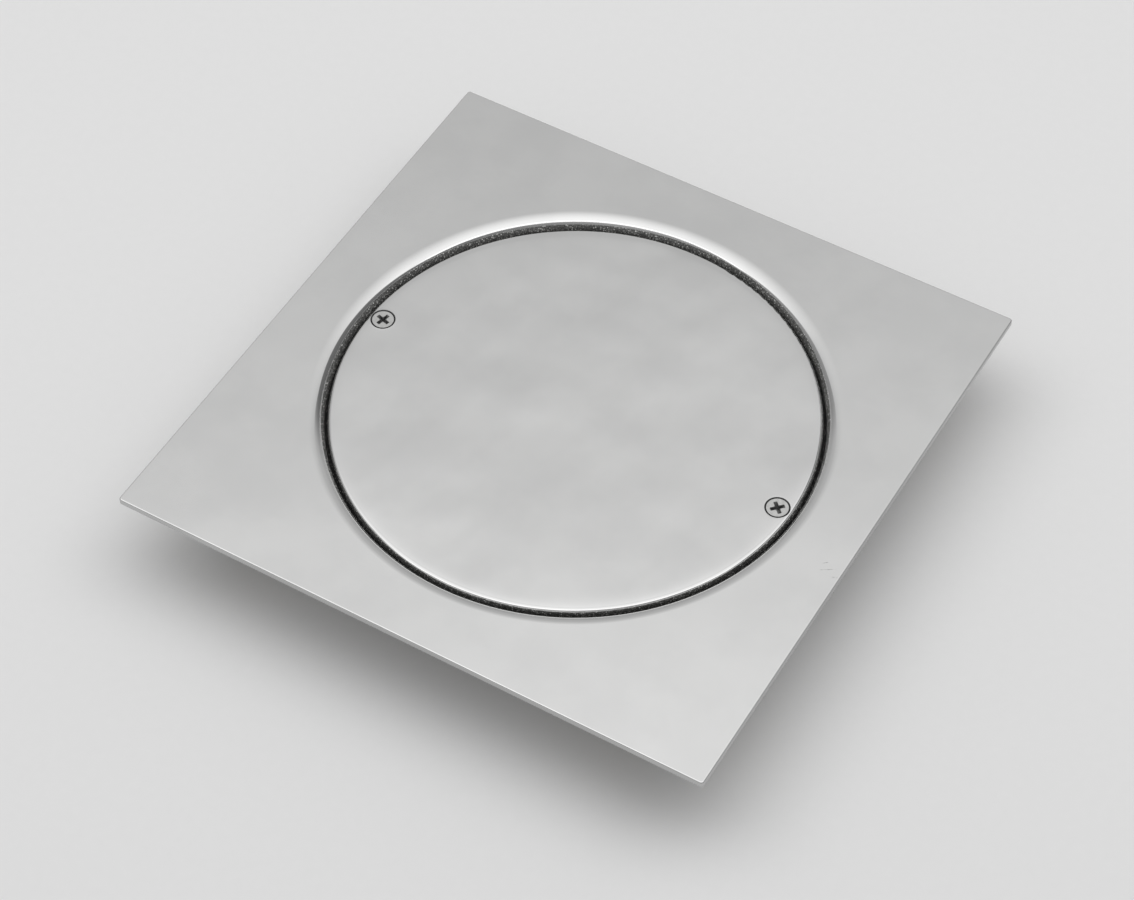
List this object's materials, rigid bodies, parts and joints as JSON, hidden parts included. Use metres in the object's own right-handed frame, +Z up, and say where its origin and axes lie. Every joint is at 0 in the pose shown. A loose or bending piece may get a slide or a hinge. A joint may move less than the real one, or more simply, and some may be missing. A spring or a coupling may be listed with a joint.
{
  "type": "square floor drain cover frame",
  "caption": "Square stainless floor drain top with a pressed round well, a sealed flat cover held by countersunk screws, and a short spigot below.",
  "frame": {"origin": "centre of the spigot's lower rim, which is the middle of the underside of the whole part", "axes": "+Z up, square to the plate; +X and +Y along the plate's sides; the screws stand near the X axis"},
  "size_m": [0.2, 0.2, 0.03],
  "materials": {
    "polished_sheet": "smooth polished stainless sheet with a soft satin haze",
    "tube_steel": "mill finish stainless tube with a weld seam",
    "strip_steel": "dull rolled stainless strip",
    "fastener_steel": "bright stainless fastener",
    "black_rubber": "matt black rubber with fine dust"
  },
  "bodies": {
    "root": {"frame_plate": "polished_sheet", "spigot": "tube_steel", "seat_nuts": "fastener_steel", "gasket": "black_rubber", "cover": "polished_sheet", "cover_screws": "fastener_steel", "anchor_front_left": "strip_steel", "anchor_front_right": "strip_steel", "anchor_back_left": "strip_steel", "anchor_back_right": "strip_steel"}
  },
  "joints": []
}
